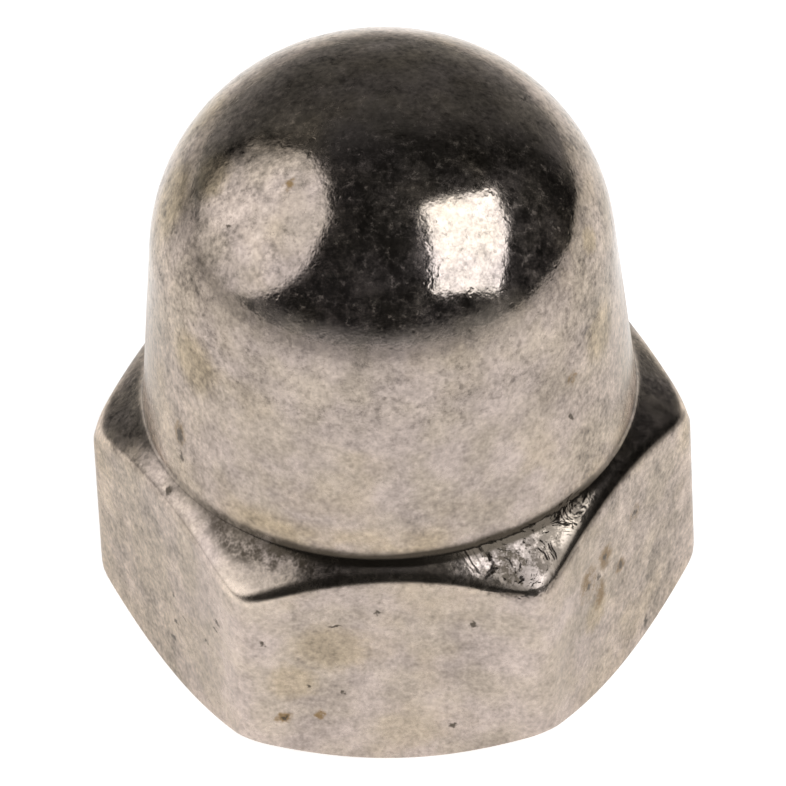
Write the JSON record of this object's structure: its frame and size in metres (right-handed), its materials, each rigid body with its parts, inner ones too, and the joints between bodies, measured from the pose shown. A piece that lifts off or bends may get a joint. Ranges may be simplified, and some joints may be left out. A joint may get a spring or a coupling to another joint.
{
  "type": "cap nut",
  "caption": "Domed steel cap nut: a chamfered hexagon under a drafted neck and rounded dome, with a blind tapped hole that covers a bolt's end.",
  "frame": {"origin": "centre of the flat bearing face that the nut stands on", "axes": "+Z along the thread's axis towards the crown of the dome; one flat of the hexagon faces -Y and a corner points along +X"},
  "size_m": [0.009, 0.008, 0.01],
  "materials": {
    "steel": "tumbled stainless steel, polished on the dome and the chamfer, with fine pits, short scratches and faint brown stains"
  },
  "bodies": {
    "root": {"cap_nut": "steel"}
  },
  "joints": []
}
